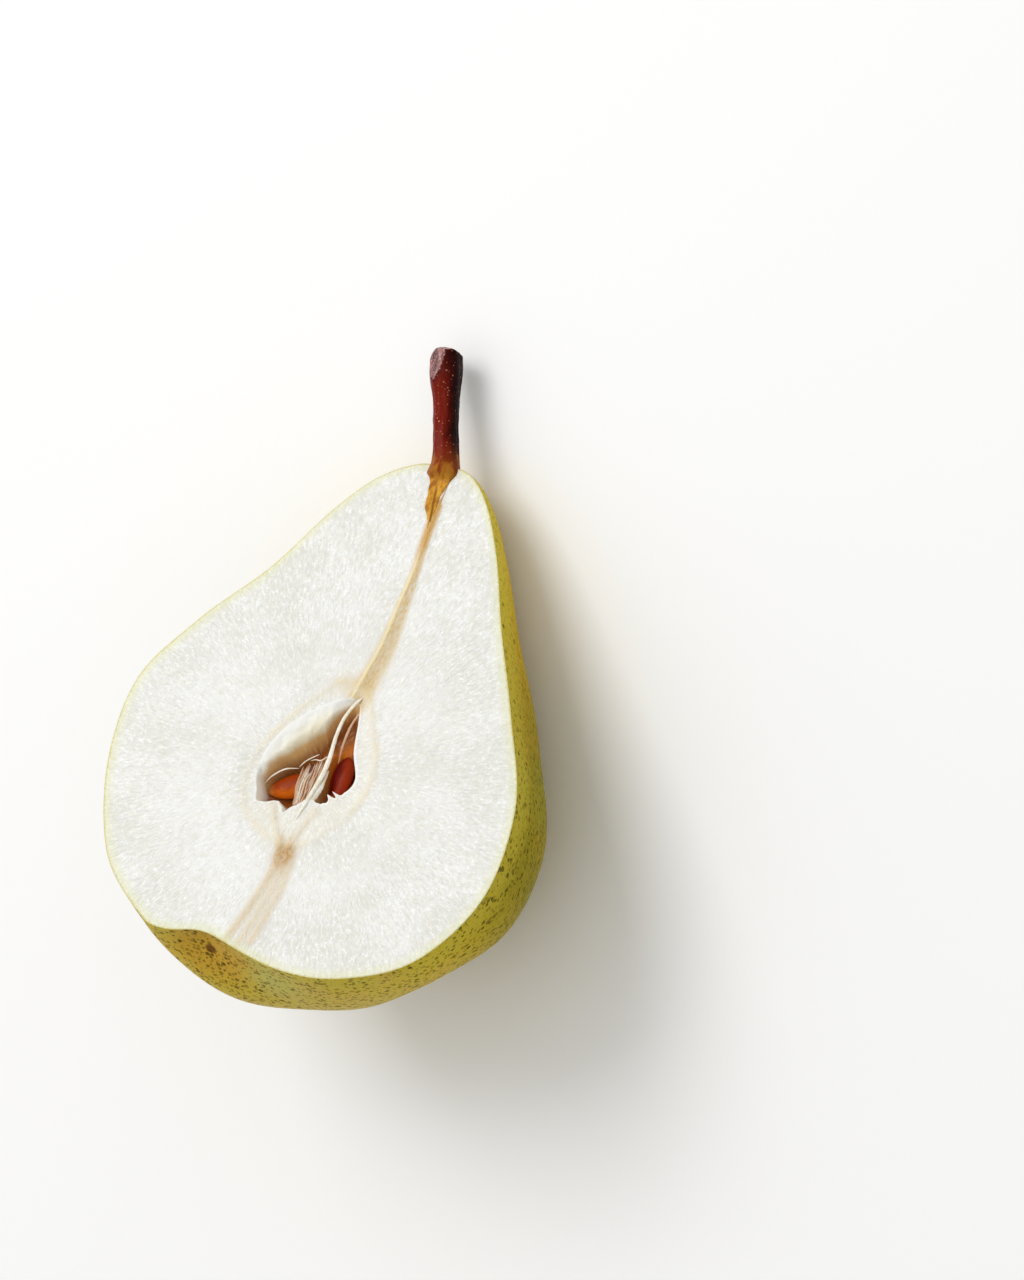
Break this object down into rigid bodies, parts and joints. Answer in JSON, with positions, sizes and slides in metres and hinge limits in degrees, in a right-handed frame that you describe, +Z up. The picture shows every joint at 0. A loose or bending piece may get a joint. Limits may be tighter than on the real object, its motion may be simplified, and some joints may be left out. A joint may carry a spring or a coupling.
{
  "type": "halved pear",
  "caption": "Half of a ripe pear, cut lengthwise beside its stem, lying on its back with the white cut face, open core and seeds up.",
  "frame": {"origin": "centre of the whole object's footprint box, on the surface it lies on", "axes": "+Z up from the surface, +Y along the fruit from the calyx end to the stem, +X to the fruit's right seen from above with the stem away"},
  "size_m": [0.0714, 0.0998, 0.0508],
  "materials": {
    "fruit": "moist satin flesh inside a thin speckled yellow-green skin",
    "stem": "glossy dark red-brown bark",
    "seeds": "smooth glossy brown"
  },
  "bodies": {
    "root": {"pear_half": "fruit", "stem": "stem", "seed_left": "seeds", "seed_right": "seeds"}
  },
  "joints": []
}
